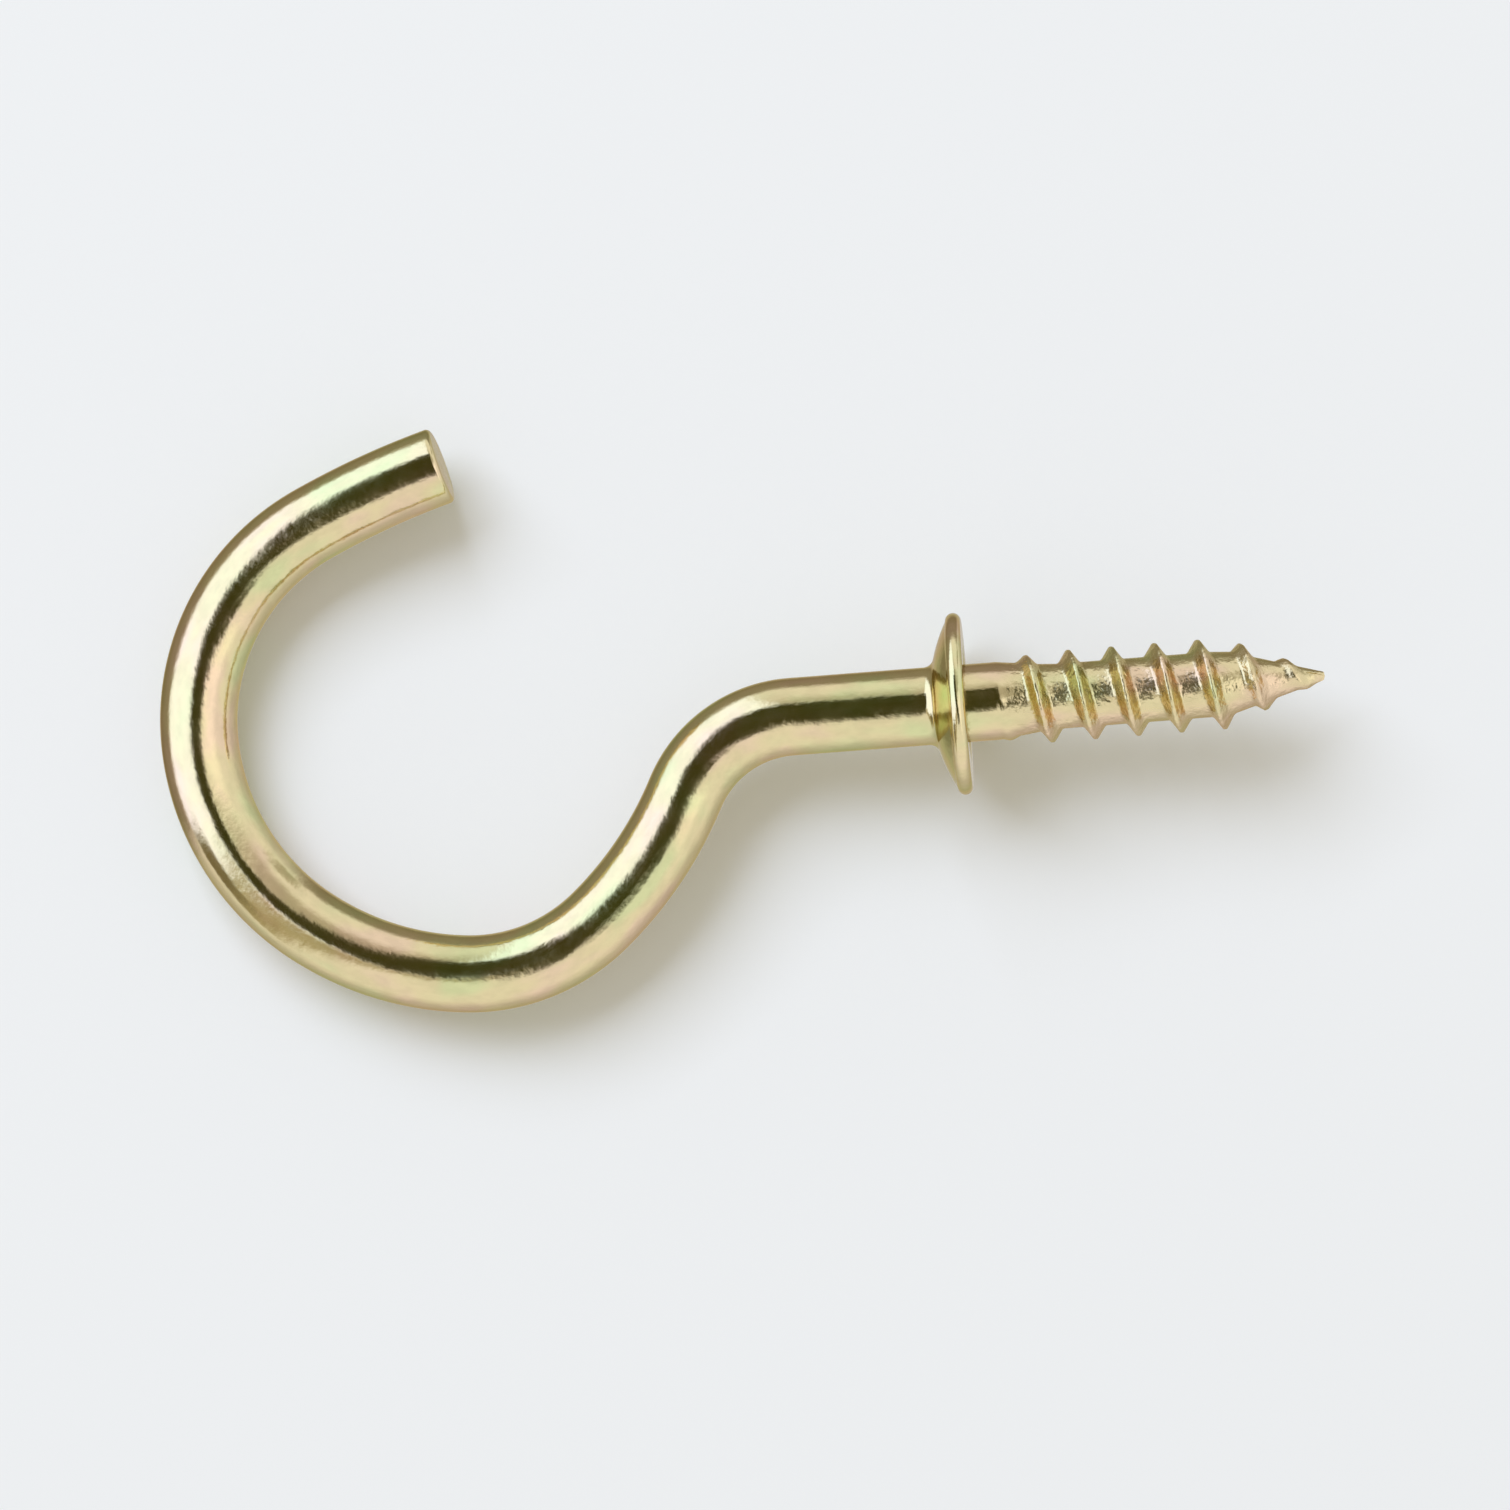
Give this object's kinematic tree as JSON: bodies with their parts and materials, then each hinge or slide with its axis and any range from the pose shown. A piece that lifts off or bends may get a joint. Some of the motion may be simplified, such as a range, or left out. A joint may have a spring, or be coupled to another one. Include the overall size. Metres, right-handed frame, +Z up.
{
  "type": "cup hook",
  "caption": "Shouldered cup hook: a bent wire with an open round bowl, an upset collar and a wood-screw thread with a gimlet point.",
  "frame": {"origin": "the middle of the hook's outline as it lies at rest, on the surface under it", "axes": "+X towards the screw's point, +Y towards the bowl's mouth, +Z up from the surface it lies on"},
  "size_m": [0.0448, 0.0225, 0.007],
  "materials": {
    "plated_steel": "bright yellow plating, smooth"
  },
  "bodies": {
    "root": {"cup_hook": "plated_steel"}
  },
  "joints": []
}
